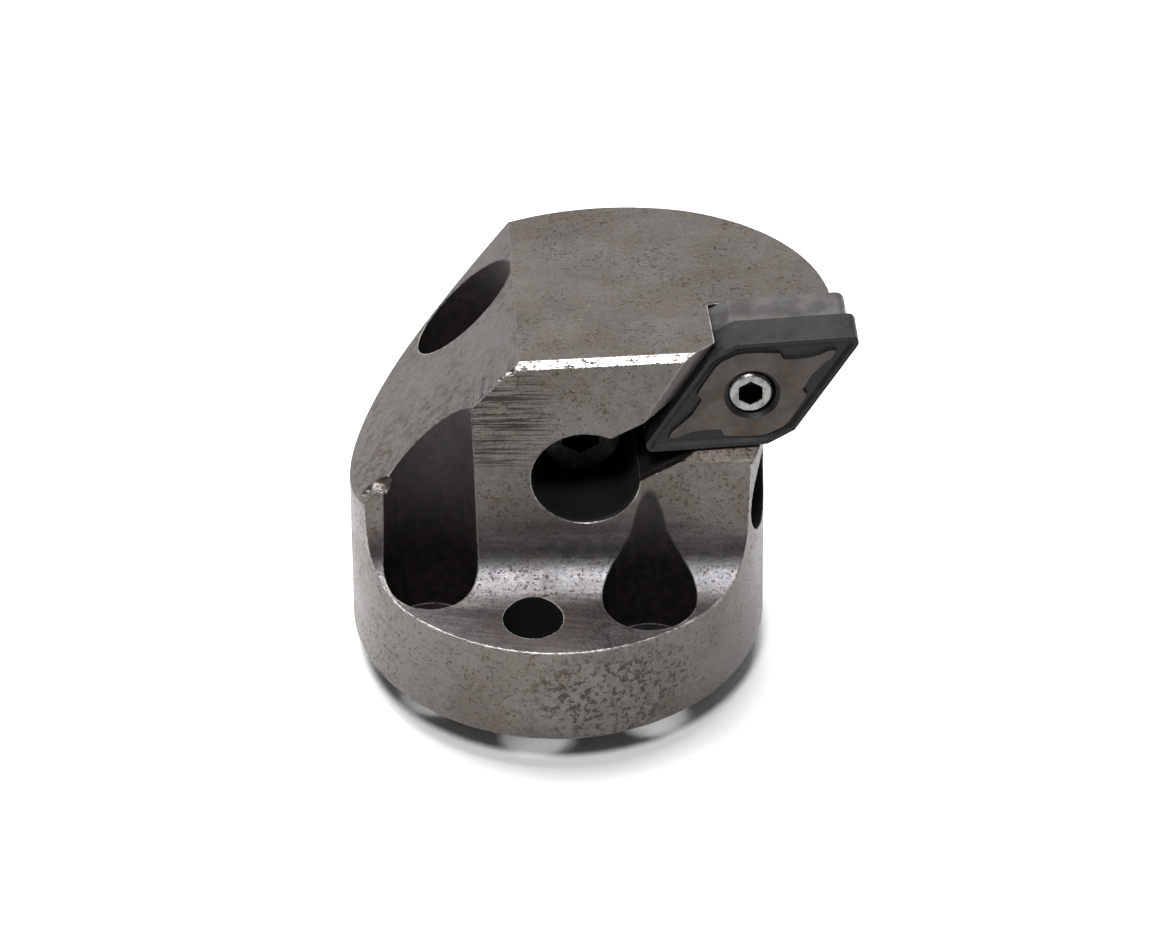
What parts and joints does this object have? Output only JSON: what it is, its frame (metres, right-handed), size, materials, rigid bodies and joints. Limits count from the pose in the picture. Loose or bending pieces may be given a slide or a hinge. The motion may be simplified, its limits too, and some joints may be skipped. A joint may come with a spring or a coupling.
{
  "type": "modular boring bar cutting head",
  "caption": "Exchangeable boring bar head with a flanged bolt-on end, chip gash and a lever-clamped rhombic cutting insert on a shim.",
  "frame": {"origin": "centre of the flange face, where the spigot meets it", "axes": "+Z from the bar towards the workpiece, along the spigot's axis; +X towards the insert nose; -Y is the side the rake face looks to"},
  "size_m": [0.0546, 0.0481, 0.0451],
  "materials": {
    "body_steel": "machined, rust specked",
    "insert_carbide": "coated carbide, dark satin",
    "shim_carbide": "ground carbide",
    "sleeve_steel": "spring steel, dull",
    "lever_steel": "turned, bright",
    "screw_steel": "black oxide"
  },
  "bodies": {
    "head": {"head_body": "body_steel", "seat_shim": "shim_carbide", "shim_sleeve": "sleeve_steel"},
    "screw": {"lever_screw": "screw_steel"},
    "lever": {"clamp_lever": "lever_steel"},
    "insert": {"cutting_insert": "insert_carbide"}
  },
  "joints": [
    {"name": "screw_travel", "type": "slide", "parent": "head", "child": "screw", "axis": [0.212, -0.9698, 0.1208], "range_m": [0, 0.00035]},
    {"name": "lever_rock", "type": "hinge", "parent": "head", "child": "lever", "pos_m": [0.01971, 0.01234, 0.0339], "axis": [-0.4987, -0.001, 0.8668], "range_deg": [0, 1.1]},
    {"name": "insert_lift", "type": "slide", "parent": "head", "child": "insert", "axis": [0.212, -0.9698, 0.1208], "range_m": [0, 0.015]}
  ],
  "couplings": [
    {"joint": "lever_rock", "follows": "screw_travel", "rad_per_m": 54.05}
  ]
}
